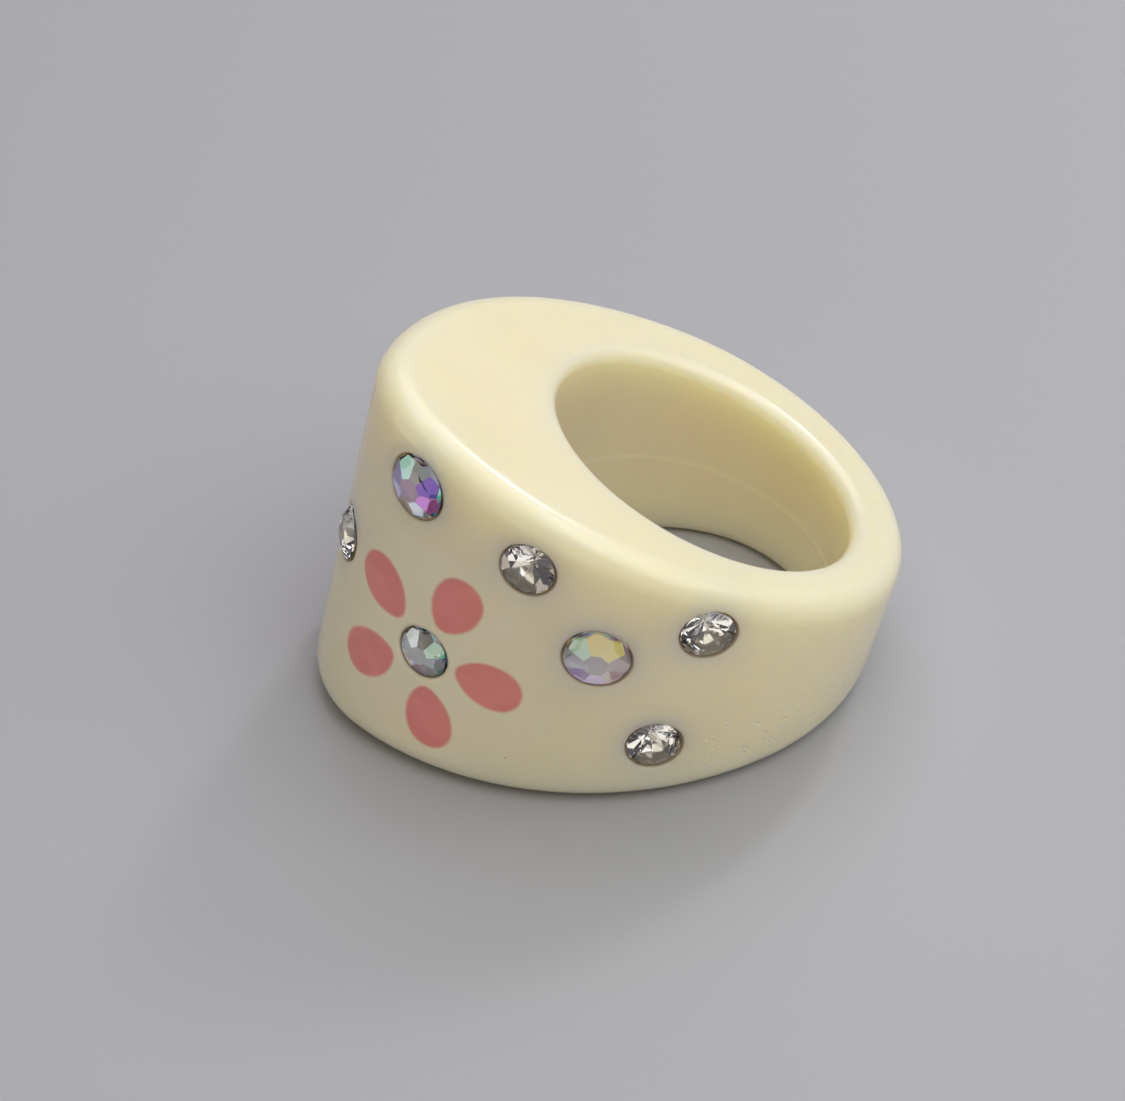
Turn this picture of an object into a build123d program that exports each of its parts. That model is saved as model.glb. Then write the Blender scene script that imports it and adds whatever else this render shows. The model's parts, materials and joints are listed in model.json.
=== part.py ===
from build123d import *
import os
from math import atan2, cos, degrees, pi, radians, sin, sqrt, tan

# Chunky resin cocktail ring, in millimetres.  It lies on one of its two side faces, as on a table:
# +Z up, the thick decorated nose towards -Y, the thin back towards +Y, the origin under its middle.
# It is laid out in the hole's frame first: Z along the finger hole, whose axis is at X = bore_shift.

# ---- driving dimensions ----
bore_diameter = 17.7          # finger hole, about US size 7 1/2
bore_shift = 0.75             # the hole is drilled this far off the outline's middle plane
wedge_angle = 13.6            # each side face leans this far from square to the hole, in degrees
half_height = 6.6             # the hole's mid plane to a side face, along the hole's axis
nose_radius = 8.0             # the three tangent arcs of the egg-shaped outline
flank_radius = 18.2
back_radius = 13.0
nose_reach = 11.0             # the hole's axis to the centre of the nose arc
back_reach = 0.7              # the hole's axis to the centre of the back arc, on the nose side
rim_round = 1.4               # rounding of the two outer rims
mouth_round = 0.75            # rounding of the hole's two mouths

flower_middle = (7.58, -2.14)  # along the wall from the nose line, and up the hole's axis
petal_count = 5
petal_orbit = 4.12            # flower middle to petal middle
petal_length = 3.9
petal_big_end = 1.42          # the outer end of a petal
petal_small_end = 0.78        # the end that points at the flower's middle
petal_flank = 2.6
petal_depth = 0.45            # how deep a petal is let into the wall

large_stone = 3.54            # stone diameters
small_stone = 2.92
girdle_sink = 0.16            # a stone's girdle sits this far below the wall
nose_sink = 0.03              # the nose stone's sits higher, where the wall curves away from it
seat_clearance = 0.05         # radial play between a stone and its drilled seat
lip_round = 0.30              # softened lip of each seat
lacquer_gap = 0.01            # clear lacquer between a stone and its foil
foil_thickness = 0.05
cement_thickness = 0.10
drill_point_angle = 44.0      # slope of the conical bottom under a pointed stone

rose_tilt = 27.0              # flat-backed stone: lean of its eight broad facets
rose_edge_tilt = 41.0         # and of the sixteen small facets round its girdle
rose_table = 0.36             # table radius over stone radius
rose_base = 0.24              # height below the girdle over stone radius
crown_tilt = 28.0             # pointed stone: lean of its main, star and girdle facets
star_tilt = 16.0
edge_tilt = 35.0
pavilion_tilt = 42.0
brilliant_table = 0.56
brilliant_girdle = 0.06
main_facets = 8
edge_bite = 0.985             # the small facets cut in to this share of the radius at the girdle

# the right flank's stones: name, cut, diameter, along the wall, up the hole's axis, turn in its seat
flank_stones = [
    ("shoulder", "rose", large_stone, 4.73, 7.21, 35),
    ("front", "rose", small_stone, 7.58, -2.26, 42),
    ("upper", "brilliant", small_stone, 12.11, 6.10, 7),
    ("middle", "rose", large_stone, 16.86, 1.84, 55),
    ("rear_upper", "brilliant", small_stone, 22.31, 4.44, 19),
    ("rear_lower", "brilliant", small_stone, 21.25, -3.51, 33),
]
nose_place = (-0.45, 0.15)
left_shift = -2.0             # the left flank's stones start this much further from the nose line
stones = [("nose", "brilliant", small_stone, *nose_place, 5)]
for name, cut, diameter, along, height, turn in flank_stones:
    stones.append((f"right_{name}", cut, diameter, along, height, turn))
    # the left flank has the same scatter, turned half a turn about the middle of the nose
    stones.append((f"left_{name}", cut, diameter, left_shift - along, -height, -turn))

bore_radius = bore_diameter / 2
tall = 4 * half_height        # taller than the ring, for blanks that are cut down
egg_spacing = nose_reach - back_reach


# ---- egg outlines: a big end, a small end and two flanks, all tangent ----
def egg_flank(big, small, flank, spacing):
    """Centre of the +X flank arc from the big end's centre, and the angles where it starts and ends."""
    to_big = flank - big
    to_small = flank - small
    along = (to_big**2 - to_small**2 + spacing**2) / (2 * spacing)
    across = sqrt(to_big**2 - along**2)
    start = atan2(across, spacing - along)
    end = atan2(across, -along)
    return -across, -along, start, end


def egg_face(big, small, flank, spacing):
    """Egg with its big end's centre at the origin and its small end towards -Y."""
    x, y, start, end = egg_flank(big, small, flank, spacing)
    first = degrees(start)
    last = degrees(end)
    arcs = [
        CenterArc((0, -spacing), small, -90 - first, 2 * first),
        CenterArc((x, y), flank, first - 90, last - first),
        CenterArc((0, 0), big, last - 90, 360 - 2 * last),
        CenterArc((-x, y), flank, 270 - last, last - first),
    ]
    return make_face(arcs)


def wall_block(inset=0.0):
    """Tall block inside the ring's outer wall, `inset` below it all round."""
    outline = egg_face(back_radius - inset, nose_radius - inset, flank_radius - inset, egg_spacing)
    return extrude(Pos(0, -back_reach, -tall / 2) * outline, tall)


def wall_place(along, height):
    """Location on the wall: z out of it, y up the hole's axis, x along it."""
    x, y, start, _ = egg_flank(back_radius, nose_radius, flank_radius, egg_spacing)
    side = 1 if along >= 0 else -1
    nose_length = nose_radius * start
    if abs(along) <= nose_length:
        turn = abs(along) / nose_radius
        centre = Vector(0, -nose_reach, height)
        radius = nose_radius
    else:
        turn = start + (abs(along) - nose_length) / flank_radius
        centre = Vector(side * x, y - back_reach, height)
        radius = flank_radius
    out = Vector(side * sin(turn), -cos(turn), 0)
    forward = Vector(cos(turn), side * sin(turn), 0)
    return Plane(origin=centre + out * radius, x_dir=forward, z_dir=out).location


# ---- stones, cut like real ones: a round blank, and one flat cut for each facet ----
def disc(radius, top, thickness):
    return Pos(0, 0, top - thickness) * Cylinder(
        radius, thickness, align=(Align.CENTER, Align.CENTER, Align.MIN))


def facets(stone, count, tilt, radius, height, up=1, shift=0):
    """Cut `count` flats that lean by `tilt`, each through the point (radius, height)."""
    for index in range(count):
        azimuth = radians((index + shift) * 360 / count)
        lean = radians(tilt)
        normal = Vector(sin(lean) * cos(azimuth), sin(lean) * sin(azimuth), up * cos(lean))
        touch = Vector(radius * cos(azimuth), radius * sin(azimuth), height)
        stone = split(stone, bisect_by=Plane(origin=touch, z_dir=normal), keep=Keep.BOTTOM)
    return stone


def rose_stone(radius):
    """Flat-backed stone with a small table."""
    crown = radius * (1 - rose_table) * tan(radians(rose_tilt))
    stone = disc(radius, crown, crown + radius * rose_base)
    stone = facets(stone, main_facets, rose_tilt, radius, 0)
    return facets(stone, 2 * main_facets, rose_edge_tilt, radius * edge_bite, 0, shift=0.5)


def pavilion(stone, radius, level):
    """Cut the pointed underside below `level`."""
    return facets(stone, main_facets, pavilion_tilt, radius, level, up=-1)


def brilliant_stone(radius):
    """Pointed stone with table, star, main and girdle facets over a full pavilion."""
    crown = radius * (1 - brilliant_table) * tan(radians(crown_tilt))
    girdle = radius * brilliant_girdle
    stone = disc(radius, crown, crown + girdle + radius)
    stone = facets(stone, main_facets, crown_tilt, radius, 0)
    star = radius * brilliant_table * cos(pi / main_facets)
    stone = facets(stone, main_facets, star_tilt, star, crown, shift=0.5)
    stone = facets(stone, 2 * main_facets, edge_tilt, radius * edge_bite, 0, shift=0.5)
    return pavilion(stone, radius, -girdle)


def rose_set(radius):
    """Crystal, foil, cement and seat of a flat-backed stone, the girdle's top at height 0."""
    foil_top = -radius * rose_base - lacquer_gap
    cement_top = foil_top - foil_thickness
    floor = cement_top - cement_thickness
    seat_radius = radius + seat_clearance
    foil = disc(radius - seat_clearance, foil_top, foil_thickness)
    cement = disc(seat_radius, cement_top, cement_thickness)
    seat = disc(seat_radius, radius, radius - floor)
    return rose_stone(radius), foil, cement, seat


def brilliant_set(radius):
    """Crystal, foil, cement and seat of a pointed stone, the girdle's top at height 0."""
    girdle = -radius * brilliant_girdle
    edge = girdle - 2 * lacquer_gap
    lean = 1 / cos(radians(pavilion_tilt))
    gap_cup = pavilion(disc(radius, 0, 2 * radius), radius, girdle - lacquer_gap * lean)
    foil_level = girdle - (lacquer_gap + foil_thickness) * lean
    foil_cup = pavilion(disc(radius, edge, 2 * radius), radius, foil_level)
    seat_radius = radius + seat_clearance
    shoulder = girdle - 2 * cement_thickness
    point = Cone(cement_thickness / 4, seat_radius, seat_radius * tan(radians(drill_point_angle)),
                 align=(Align.CENTER, Align.CENTER, Align.MAX))
    seat = disc(seat_radius, radius, radius - shoulder) + Pos(0, 0, shoulder) * point
    bed = split(seat, bisect_by=Plane(origin=(0, 0, edge)), keep=Keep.BOTTOM)
    return brilliant_stone(radius), foil_cup - gap_cup, bed - foil_cup - gap_cup, seat


# ---- ring body: the wall, two leaning side faces and the finger hole, with soft edges ----
def side_plane(up):
    lean = radians(wedge_angle)
    return Plane(origin=(0, 0, up * half_height), z_dir=(0, sin(lean), up * cos(lean)))


def side_face_edges(solid):
    """Edges of the two flat side faces."""
    flats = solid.faces().filter_by(GeomType.PLANE)
    return ShapeList([edge for face in flats for edge in face.edges()])


body = wall_block()
for up in (1, -1):
    body = split(body, bisect_by=side_plane(up), keep=Keep.BOTTOM)
body = fillet(side_face_edges(body), rim_round)
body -= Pos(bore_shift, 0, 0) * Cylinder(bore_radius, tall)
mouths = [edge for edge in side_face_edges(body) if edge.geom_type == GeomType.ELLIPSE and edge.is_closed]
body = fillet(mouths, mouth_round)
nodes = {}

# ---- stones: crystal, foil and cement in a drilled seat with a softened lip ----
stone_sets = {
    ("rose", large_stone): rose_set(large_stone / 2),
    ("rose", small_stone): rose_set(small_stone / 2),
    ("brilliant", small_stone): brilliant_set(small_stone / 2),
}
for name, cut, diameter, along, height, turn in stones:
    crystal, foil, cement, seat = stone_sets[cut, diameter]
    sink = nose_sink if name == "nose" else girdle_sink
    place = wall_place(along, height) * Pos(0, 0, -sink) * Rot(Z=turn)
    nodes[f"crystal_{name}"] = place * crystal
    nodes[f"foil_{name}"] = place * foil
    nodes[f"cement_{name}"] = place * cement
    placed_seat = place * seat
    whole = body
    body = whole - placed_seat
    lip = [edge for edge in new_edges(whole, placed_seat, combined=body)
           if (place.inverse() * edge).bounding_box().max.Z > 0]
    body = fillet(lip, lip_round)

# ---- petals: pink inlays flush with the right flank, round its front stone ----
petal_spacing = petal_length - petal_big_end - petal_small_end
petal_centre = (petal_big_end + petal_spacing + petal_small_end) / 2 - petal_big_end
petal_face = Pos(0, petal_centre) * egg_face(petal_big_end, petal_small_end, petal_flank, petal_spacing)
petal_block = extrude(Pos(0, 0, -2 * petal_depth) * petal_face, 4 * petal_depth)
skin = wall_block() - wall_block(petal_depth)
for index in range(petal_count):
    angle = index * 360 / petal_count
    along = flower_middle[0] + petal_orbit * cos(radians(angle))
    height = flower_middle[1] + petal_orbit * sin(radians(angle))
    petal = wall_place(along, height) * Rot(Z=angle - 90) * petal_block & skin
    nodes[f"petal_{index + 1}"] = petal
    body -= petal
nodes["ring_body"] = body

# ---- lay the ring on its lower side face, with the origin under its middle, and write the nodes ----
lay = Pos(0, 0, half_height * cos(radians(wedge_angle))) * Rot(X=-wedge_angle)
lay = Pos(0, -(lay * body).bounding_box().center().Y, 0) * lay
os.makedirs("parts", exist_ok=True)
for name, node in nodes.items():
    export_step(lay * node, f"parts/{name}.step")
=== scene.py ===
import json
import math

import bpy
import numpy as np
from mathutils import Matrix, Vector


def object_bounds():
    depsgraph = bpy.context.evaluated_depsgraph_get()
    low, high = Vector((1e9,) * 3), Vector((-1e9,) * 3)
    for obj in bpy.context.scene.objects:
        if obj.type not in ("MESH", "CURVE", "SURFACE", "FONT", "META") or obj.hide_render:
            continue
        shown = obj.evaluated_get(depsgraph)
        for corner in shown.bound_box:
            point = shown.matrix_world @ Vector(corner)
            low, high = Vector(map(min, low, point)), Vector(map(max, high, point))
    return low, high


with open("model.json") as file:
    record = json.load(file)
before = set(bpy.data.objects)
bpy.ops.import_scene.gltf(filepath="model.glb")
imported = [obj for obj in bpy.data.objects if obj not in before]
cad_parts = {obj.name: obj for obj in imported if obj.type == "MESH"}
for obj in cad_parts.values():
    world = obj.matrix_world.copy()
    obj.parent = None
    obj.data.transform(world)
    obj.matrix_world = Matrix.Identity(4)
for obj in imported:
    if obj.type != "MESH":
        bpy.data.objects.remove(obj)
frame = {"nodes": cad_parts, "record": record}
cad_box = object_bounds()

# ---- the ring's own frame, in millimetres: across, towards the back, and up the finger hole ----
MM = 0.001
nodes = frame["nodes"]
slot_of = {part["node"]: part["material_slot"] for part in frame["record"]["subparts"]}
mounts = {mount["name"]: mount for mount in frame["record"]["mounts"]}
hole = mounts["finger_bore"]
hole_up = Vector(hole["axis"])
hole_right = Vector((1, 0, 0))
hole_back = hole_up.cross(hole_right)
hole_shift = Vector(hole["pos_m"]).x
hole_radius = hole["dims"]["r_mm"]
ring_middle = Vector(hole["pos_m"]) - hole_right * hole_shift

# the egg-shaped outline of the wall, and the flower on it
back_radius = 13.0
nose_radius = 8.0
flank_radius = 18.2
nose_reach = 11.0
back_reach = 0.7
flower_along = 7.58
flower_up = -2.14
petal_count = 5
petal_orbit = 4.12
petal_length = 3.9
petal_big_end = 1.42
petal_small_end = 0.78
petal_flank = 2.6

# a faint ridge round the inside of the finger hole, with a painted highlight along it, by its height from
# the hole's mid plane
ridge_height = -0.55
ridge_width = 0.34
ridge_lift = 0.03
hole_margin = 0.3          # what lies this near to the hole's wall counts as inside it

# the resin's clouds of colour, the waves left by polishing, and its fine grain
ivory_cloud = 6.0
pink_cloud = 1.8
wave_size = 2.5
wave_height = 0.012
grain_size = 0.25
grain_height = 0.001

# the pink bleeds this far across a petal's edge, and goes this deep
soft_edge = 0.13
pink_depth = 1.0

# the resin scatters light beyond the flower: not up to one distance from its middle, fully from another
opaque_within = 6.0
translucent_from = 8.5
light_reach = 4.5          # how far the light travels inside it

# specks of dirt, a dark brown band round the stones (painted shade in the gap round each stone, and the
# brown cement there), and pits low on the thin end of the wall
speck_cell = 1.6
speck_size = 0.05
speck_share = 0.3
gap_shade_and_cement_inner = 0.06
gap_shade_and_cement_outer = 0.20
pit_cell = 0.42
pit_size = 0.34
pit_share = 0.6
pit_depth = 0.08
pits_start = 21
pits_full = 27
pits_top = 1
pits_full_below = -4

# a facet is the table, or one of the small ones round the girdle, by how far it leans
table_lean = 0.97
edge_lean = 0.83
edge_film_thinnest = 120   # the small facets' coating, in nanometres
edge_film_range = 150


def egg_flank(big, small, flank, spacing):
    """Centre of an egg's flank arc from the big end's centre, and the angles where it starts and ends."""
    along = ((flank - big)**2 - (flank - small)**2 + spacing**2) / (2 * spacing)
    across = math.sqrt((flank - big)**2 - along**2)
    return -across, -along, math.atan2(across, spacing - along), math.atan2(across, -along)


# ---- small helpers for node materials ----
class Value:
    """A number that varies over a surface, with ordinary arithmetic."""

    def __init__(self, shader, socket):
        self.shader = shader
        self.socket = socket

    def math(self, operation, *others):
        return self.shader.math(operation, self, *others)

    def __add__(self, other):
        return self.math("ADD", other)

    def __sub__(self, other):
        return self.math("SUBTRACT", other)

    def __mul__(self, other):
        return self.math("MULTIPLY", other)

    def __truediv__(self, other):
        return self.math("DIVIDE", other)

    def least(self, other):
        return self.math("MINIMUM", other)

    def most(self, other):
        return self.math("MAXIMUM", other)

    def above(self, limit):
        """1 where the value is above the limit, else 0."""
        return self.math("GREATER_THAN", limit)

    def step(self, low, high, start=0.0, end=1.0):
        """Smooth step from low to high."""
        node = self.shader.add("ShaderNodeMapRange", interpolation_type="SMOOTHSTEP", clamp=True)
        for socket, number in zip(node.inputs, (self, low, high, start, end)):
            self.shader.put(socket, number)
        return Value(self.shader, node.outputs[0])


class Shader:
    """A node material under construction."""

    def __init__(self, name):
        self.material = bpy.data.materials.new(name)
        self.material.use_nodes = True
        self.tree = self.material.node_tree
        self.tree.nodes.clear()
        self.surface = self.add("ShaderNodeBsdfPrincipled")
        self.put(self.add("ShaderNodeOutputMaterial").inputs["Surface"], self.surface.outputs["BSDF"])
        self.place = self.add("ShaderNodeTexCoord").outputs["Object"]

    def add(self, kind, **settings):
        node = self.tree.nodes.new(kind)
        for key, value in settings.items():
            setattr(node, key, value)
        return node

    def put(self, target, value):
        """Set a socket to a plain value, or link another socket to it."""
        if isinstance(value, Value):
            value = value.socket
        if isinstance(value, bpy.types.NodeSocket):
            self.tree.links.new(value, target)
        else:
            target.default_value = value

    def set(self, **values):
        """Set the surface's sockets, by name with _ for a space."""
        for key, value in values.items():
            self.put(self.surface.inputs[key.replace("_", " ")], value)

    def math(self, operation, *values):
        node = self.add("ShaderNodeMath", operation=operation)
        for socket, value in zip(node.inputs, values):
            self.put(socket, value)
        return Value(self, node.outputs[0])

    def vector(self, operation, *values):
        node = self.add("ShaderNodeVectorMath", operation=operation)
        for socket, value in zip(node.inputs, values):
            self.put(socket, value)
        if operation in ("LENGTH", "DOT_PRODUCT", "DISTANCE"):
            return Value(self, node.outputs["Value"])
        return node.outputs["Vector"]

    def length(self, first, second):
        return (first * first + second * second).math("SQRT")

    def angle(self, across, along):
        return self.math("ARCTAN2", across, along)

    def choose(self, test, yes, no):
        """yes where the test is 1, no where it is 0."""
        return test * (yes - no) + no

    def noise(self, size, detail=3.0, roughness=0.5, place=None, output="Fac"):
        """Noise whose features are about `size` metres across."""
        node = self.add("ShaderNodeTexNoise")
        self.put(node.inputs["Vector"], place or self.place)
        self.put(node.inputs["Scale"], 1 / size)
        self.put(node.inputs["Detail"], detail)
        self.put(node.inputs["Roughness"], roughness)
        return Value(self, node.outputs[output])

    def dots(self, size, radius, share, wobble=0.3):
        """1 inside scattered dots: `share` of the cells, each `size` metres, hold one of `radius` cells."""
        shift = self.vector("SCALE", self.noise(size * wobble, output="Color").socket)
        shift.node.inputs["Scale"].default_value = size * 0.25
        node = self.add("ShaderNodeTexVoronoi")
        self.put(node.inputs["Vector"], self.vector("ADD", self.place, shift))
        self.put(node.inputs["Scale"], 1 / size)
        chance = self.add("ShaderNodeSeparateColor")
        self.put(chance.inputs[0], node.outputs["Color"])
        near = Value(self, node.outputs["Distance"]).step(radius, radius * 0.4)
        return near * Value(self, chance.outputs[0]).above(1 - share)

    def mix(self, share, first, second):
        node = self.add("ShaderNodeMix", data_type="RGBA")
        self.put(node.inputs["Factor"], share)
        self.put(node.inputs[6], first)
        self.put(node.inputs[7], second)
        return node.outputs[2]

    def steps(self, share, *colours):
        """One of the colours, by a value from 0 to 1."""
        node = self.add("ShaderNodeValToRGB")
        ramp = node.color_ramp
        ramp.interpolation = "CONSTANT"
        while len(ramp.elements) < len(colours):
            ramp.elements.new(0.99)
        for index, colour in enumerate(colours):
            ramp.elements[index].position = index / len(colours)
            ramp.elements[index].color = (*colour, 1)
        self.put(node.inputs[0], share)
        return node.outputs[0]

    def bump(self, height, depth, under=None):
        """Bump of `depth` metres for height 0 to 1."""
        node = self.add("ShaderNodeBump")
        self.put(node.inputs["Distance"], depth)
        self.put(node.inputs["Height"], height)
        if under is not None:
            self.put(node.inputs["Normal"], under)
        return node.outputs["Normal"]

    def ring_place(self):
        """Millimetres across, towards the back and up the finger hole."""
        offset = self.vector("SUBTRACT", self.place, ring_middle)
        return [self.vector("DOT_PRODUCT", offset, direction / MM)
                for direction in (hole_right, hole_back, hole_up)]


# ---- fields over the resin, in millimetres ----
def wall_place(s):
    """Distance along the wall from the nose line, height up the hole, and depth inside, in millimetres.

    The right-hand wall, which has the flower, is followed exactly. The left-hand one is only rough.
    """
    across, back, up = s.ring_place()
    x, y, start, _ = egg_flank(back_radius, nose_radius, flank_radius, nose_reach - back_reach)
    nose_turn = s.angle(across, s.math("SUBTRACT", -nose_reach, back))
    flank_x = across - x
    flank_y = s.math("SUBTRACT", y - back_reach, back)
    flank_turn = s.angle(flank_x, flank_y)
    on_flank = nose_turn.above(start)
    along = s.choose(on_flank, flank_turn * flank_radius + start * (nose_radius - flank_radius),
                     nose_turn * nose_radius)
    depth = s.choose(on_flank, s.length(flank_x, flank_y) * -1 + flank_radius,
                     s.length(across, back + nose_reach) * -1 + nose_radius)
    return along, up, depth


def petal_distance(s, along, up, depth):
    """Distance outside the nearest petal's outline, negative inside."""
    from_middle = along - flower_along
    above_middle = up - flower_up
    sector = 2 * math.pi / petal_count
    turn = s.angle(above_middle, from_middle)
    turn = turn - (turn / sector).math("ROUND") * sector
    reach = s.length(from_middle, above_middle)
    spacing = petal_length - petal_big_end - petal_small_end
    big_middle = petal_orbit + (spacing + petal_small_end - petal_big_end) / 2
    side = (reach * turn.math("SINE")).math("ABSOLUTE")
    out = reach * turn.math("COSINE") - big_middle
    x, y, start, end = egg_flank(petal_big_end, petal_small_end, petal_flank, spacing)
    flank_side = side - x
    flank_out = out - y
    flank_turn = s.angle(flank_side, flank_out * -1)
    flank = s.length(flank_side, flank_out) - petal_flank
    small = s.length(side, out + spacing) - petal_small_end
    big = s.length(side, out) - petal_big_end
    outline = s.choose(flank_turn.above(end), big, s.choose(flank_turn.above(start), flank, small))
    return outline.most(depth - pink_depth)


def stone_girdle(name):
    """Centre, axis and radius of a stone's girdle, in metres, from its mesh."""
    points = np.array([vertex.co for vertex in nodes[name].data.vertices])
    centre = points.mean(axis=0)
    spread, directions = np.linalg.eigh(np.cov((points - centre).T))
    axis = directions[:, np.argmax(np.abs(spread - np.median(spread)))]
    if axis @ (centre - np.array(ring_middle)) < 0:
        axis = -axis
    heights = (points - centre) @ axis
    radii = np.linalg.norm(points - centre - np.outer(heights, axis), axis=1)
    girdle = heights[radii > 0.99 * radii.max()].mean()
    return Vector(centre + girdle * axis), Vector(axis), float(radii.max())


def girdle_distance(s):
    """Distance to the nearest stone's girdle."""
    nearest = None
    for name in nodes:
        if name.startswith("crystal_"):
            centre, axis, radius = stone_girdle(name)
            offset = s.vector("SUBTRACT", s.place, centre)
            height = s.vector("DOT_PRODUCT", offset, axis / MM)
            out = s.vector("LENGTH", s.vector("CROSS_PRODUCT", offset, axis / MM)) - radius / MM
            distance = s.length(height, out)
            nearest = distance if nearest is None else nearest.least(distance)
    return nearest


# ---- materials ----
def pink(s):
    cloud = s.noise(pink_cloud * MM, detail=2).step(0.3, 0.7)
    return s.mix(cloud, (0.84, 0.28, 0.245, 1), (0.79, 0.25, 0.22, 1))


def ivory(s):
    cloud = s.noise(ivory_cloud * MM, detail=2).step(0.35, 0.75)
    return s.mix(cloud, (0.87, 0.795, 0.565, 1), (0.855, 0.775, 0.535, 1))


def resin_skin(s):
    """Slight waves left by polishing."""
    return s.bump(s.noise(wave_size * MM, detail=1), wave_height * MM)


def ivory_resin():
    s = Shader("ivory_resin")
    along, up, depth = wall_place(s)
    petal = petal_distance(s, along, up, depth)
    girdle = girdle_distance(s)
    colour = ivory(s)
    # pink bleeds a little into the edge of each petal's pocket
    colour = s.mix(petal.step(soft_edge, -soft_edge), colour, pink(s))
    # specks of dirt, and round the stones a dark brown band: painted shade in the gap round each stone, and
    # the brown cement seen there
    colour = s.mix(s.dots(speck_cell * MM, speck_size, speck_share) * 0.7, colour, (0.30, 0.20, 0.12, 1))
    colour = s.mix(girdle.step(gap_shade_and_cement_outer, gap_shade_and_cement_inner) * 0.7, colour, (0.20, 0.115, 0.06, 1))
    across, back, _ = s.ring_place()
    in_hole = s.length(across - hole_shift / MM, back).math("LESS_THAN", hole_radius + hole_margin)
    # scattered pits, low on the thin end of the wall: chalky, so no light travels under them
    pitted = along.math("ABSOLUTE").step(pits_start, pits_full) * up.step(pits_top, pits_full_below)
    pits = s.dots(pit_cell * MM, pit_size, pit_share) * pitted
    pits = pits * s.math("SUBTRACT", 1.0, in_hole)
    colour = s.mix(pits * 0.85, colour, (0.97, 0.95, 0.88, 1))
    s.set(Roughness=0.2, IOR=1.49)
    # light travels far in the resin; not round the flower, where the petals' pockets would swallow it
    from_flower = s.length(along - flower_along, up - flower_up)
    translucent = from_flower.step(opaque_within, translucent_from).most(in_hole)
    s.set(Subsurface_Weight=translucent * s.math("SUBTRACT", 1.0, pits), Subsurface_Scale=light_reach * MM)
    s.set(Subsurface_Radius=(1.0, 0.85, 0.5))
    # the two halves of the finger hole's polish meet in a faint ridge round its middle; its line is also
    # painted lighter, a painted highlight along its crest
    ridge_and_highlight = ((up - ridge_height).math("ABSOLUTE").step(ridge_width, 0.0)) * in_hole
    skin = s.bump(s.noise(grain_size * MM, detail=2), grain_height * MM, resin_skin(s))
    skin = s.bump(pits, -pit_depth * MM, skin)
    # painted highlight: the ridge's line is painted a lighter cream, standing in for the glint on its crest
    colour = s.mix(ridge_and_highlight * 0.35, colour, (0.95, 0.90, 0.70, 1))
    s.set(Base_Color=colour, Normal=s.bump(ridge_and_highlight, ridge_lift * MM, skin))
    return s.material


def pink_resin():
    s = Shader("pink_resin")
    petal = petal_distance(s, *wall_place(s))
    s.set(Base_Color=s.mix(petal.step(soft_edge, -soft_edge), ivory(s), pink(s)), Roughness=0.2, IOR=1.49)
    s.set(Normal=resin_skin(s))
    return s.material


def clear_crystal():
    s = Shader("clear_crystal")
    s.set(Base_Color=(0.98, 0.97, 0.95, 1), Transmission_Weight=1.0, Roughness=0.0, IOR=1.56)
    return s.material


def iridescent_crystal(name):
    """Glass with a rainbow coating: each broad facet has its own painted reflection colour, partly the
    coating's own colours, and its own thickness of coating.
    """
    s = Shader(name)
    _, out, _ = stone_girdle(name)
    along = hole_up.cross(out)
    facing = s.add("ShaderNodeNewGeometry").outputs["True Normal"]
    lean = s.vector("DOT_PRODUCT", facing, out)
    turn = s.angle(s.vector("DOT_PRODUCT", facing, hole_up), s.vector("DOT_PRODUCT", facing, along))
    painted_reflection_names, first = facet_painted_reflections[name.split("_")[-1]]
    sector = 2 * math.pi / len(painted_reflection_names)
    share = ((turn - (math.radians(first) - sector / 2)) / (2 * math.pi)).math("FRACT")
    picked = [painted_reflection_tints[tint] for tint in painted_reflection_names]
    broad_painted_reflection = s.steps(share, *[tint for tint, _ in picked])
    film = Value(s, s.steps(share, *[(thickness / 1000,) * 3 for _, thickness in picked])) * 1000
    spark = s.noise(0.2, detail=0, place=facing).step(0.35, 0.65)
    is_table = lean.above(table_lean)
    is_edge = lean.math("LESS_THAN", edge_lean)
    # painted reflections, fixed to each facet's direction: the broad facets get their painted reflection
    # colours, the table a painted grey and the small facets a painted near white
    colour = s.mix(is_edge, s.mix(is_table, broad_painted_reflection, (0.72, 0.70, 0.70, 1)), (0.93, 0.93, 0.97, 1))
    s.set(Base_Color=colour, Transmission_Weight=1.0, Roughness=0.0, IOR=1.56)
    edge_film = spark * edge_film_range + edge_film_thinnest
    s.set(Thin_Film_Thickness=s.choose(is_edge, edge_film, film), Thin_Film_IOR=2.4)
    return s.material


def silver_foil():
    s = Shader("silver_foil")
    s.set(Base_Color=(0.96, 0.93, 0.87, 1), Metallic=0.7, Roughness=0.12)
    return s.material


def clear_cement():
    s = Shader("clear_cement")
    s.set(Base_Color=(0.25, 0.17, 0.09, 1), Roughness=0.35, IOR=1.5)
    return s.material


# a painted reflection colour for a facet, partly the coating's own colour, and the thickness of the coating
# in nanometres
painted_reflection_tints = {
    "green": ((0.88, 0.98, 0.88), 165),
    "yellow": ((0.98, 0.95, 0.74), 183),
    "violet": ((0.52, 0.42, 0.95), 120),
    "mauve": ((0.72, 0.58, 0.62), 235),
    "blue": ((0.74, 0.84, 0.96), 52),
    "magenta": ((0.85, 0.12, 0.75), 225),
    "purple": ((0.28, 0.05, 0.42), 120),
    "white": ((0.95, 0.95, 1.0), 58),
}
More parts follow.
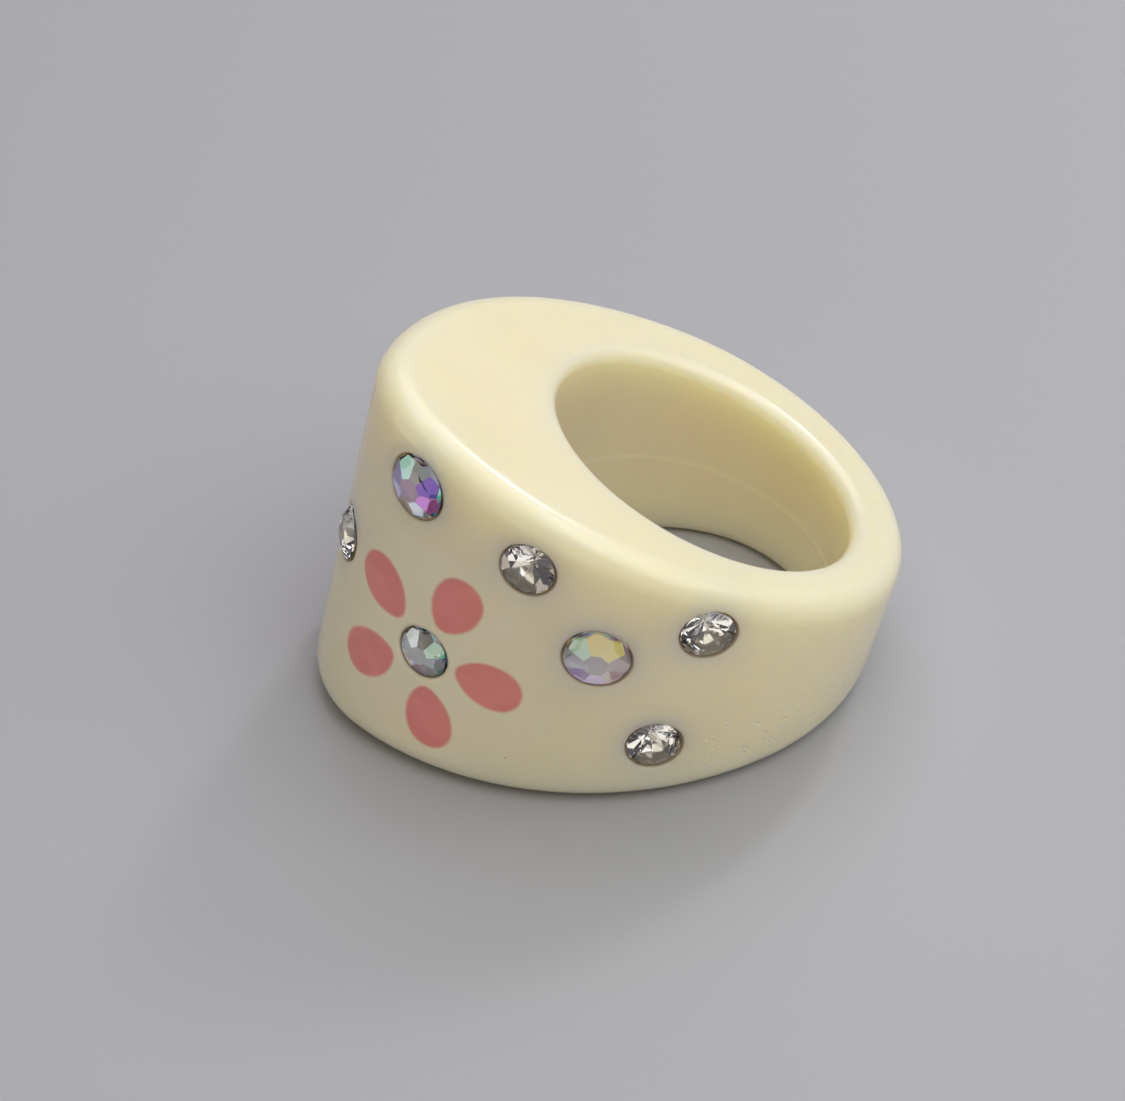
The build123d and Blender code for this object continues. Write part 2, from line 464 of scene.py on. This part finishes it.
# each stone's painted reflection colours round its broad facets, anticlockwise as seen, and the first one's
# angle from the right
facet_painted_reflections = {
    "shoulder": ("purple mauve green violet violet white blue magenta".split(), 35),
    "front": ("green mauve blue white mauve violet white blue".split(), 42),
    "middle": ("yellow yellow green blue violet violet mauve white".split(), 55),
}
makers = (ivory_resin, pink_resin, clear_crystal, silver_foil, clear_cement)
finishes = {maker.__name__: maker() for maker in makers}
for name, node in nodes.items():
    slot = slot_of[name]
    node.data.materials.clear()
    node.data.materials.append(iridescent_crystal(name) if slot == "iridescent_crystal" else finishes[slot])


# ---- floor, light and camera ----
def floor():
    mesh = bpy.data.meshes.new("floor")
    half = 1.0
    corners = [(-half, -half, 0), (half, -half, 0), (half, half, 0), (-half, half, 0)]
    mesh.from_pydata(corners, [], [(0, 1, 2, 3)])
    plane = bpy.data.objects.new("floor", mesh)
    bpy.context.scene.collection.objects.link(plane)
    s = Shader("floor")
    s.set(Base_Color=(0.39, 0.39, 0.405, 1), Roughness=0.6)
    mesh.materials.append(s.material)


def look(azimuth, elevation, roll=0.0):
    """Orientation of something in a direction round the ring that faces it, and that direction."""
    turn = math.radians(azimuth)
    rise = math.radians(elevation)
    tilt = math.radians(roll)
    back = Vector((math.sin(turn) * math.cos(rise), -math.cos(turn) * math.cos(rise), math.sin(rise)))
    right = Vector((math.cos(turn), math.sin(turn), 0))
    up = back.cross(right)
    tilted_right = right * math.cos(tilt) + up * math.sin(tilt)
    tilted_up = up * math.cos(tilt) - right * math.sin(tilt)
    return Matrix((tilted_right, tilted_up, back)).transposed(), back


def camera(aim, azimuth, elevation, roll, distance, lens):
    data = bpy.data.cameras.new("camera")
    data.lens = lens
    data.sensor_width = 36
    data.clip_start = 0.005
    thing = bpy.data.objects.new("camera", data)
    bpy.context.scene.collection.objects.link(thing)
    turn, back = look(azimuth, elevation, roll)
    thing.matrix_world = Matrix.Translation(aim + back * distance) @ turn.to_4x4()
    bpy.context.scene.camera = thing


def softbox(name, azimuth, elevation, distance, width, height, power, colour=(1, 1, 1)):
    data = bpy.data.lights.new(name, "AREA")
    data.shape = "RECTANGLE"
    data.size = width
    data.size_y = height
    data.energy = power
    data.color = colour
    thing = bpy.data.objects.new(name, data)
    bpy.context.scene.collection.objects.link(thing)
    turn, back = look(azimuth, elevation)
    centre = (Vector(cad_box[0]) + Vector(cad_box[1])) / 2
    thing.matrix_world = Matrix.Translation(centre + back * distance) @ turn.to_4x4()


floor()
# name, direction, distance and size in metres, power in watts, colour
softbox("zenith", 0, 89, 0.5, 0.55, 0.55, 0.98, (1.0, 0.99, 0.88))
softbox("key", 145, 52, 0.5, 0.5, 0.4, 1.2, (0.94, 0.98, 1.0))
softbox("back", 240, 55, 0.5, 0.5, 0.4, 1.05, (0.88, 0.85, 1.0))
softbox("front", 76, 56, 0.5, 0.42, 0.36, 0.18, (1.0, 0.88, 0.7))
softbox("window", 221, 43, 0.5, 0.05, 0.1, 0.35)
softbox("left_card", -12, 8, 0.4, 0.2, 0.13, 0.11, (1.0, 0.96, 0.88))
softbox("right_card", 68, 9, 0.4, 0.62, 0.16, 0.28, (1.0, 0.96, 0.88))
world = bpy.data.worlds.new("studio")
world.use_nodes = True
world.node_tree.nodes["Background"].inputs["Color"].default_value = (0.92, 0.88, 1.0, 1)
world.node_tree.nodes["Background"].inputs["Strength"].default_value = 0.08
bpy.context.scene.world = world
camera(aim=Vector((3.585, -3.351, 10.5)) * MM, azimuth=76.257, elevation=42.101, roll=-1.244,
       distance=162.236 * MM, lens=96)
bpy.context.scene.view_settings.view_transform = "Standard"
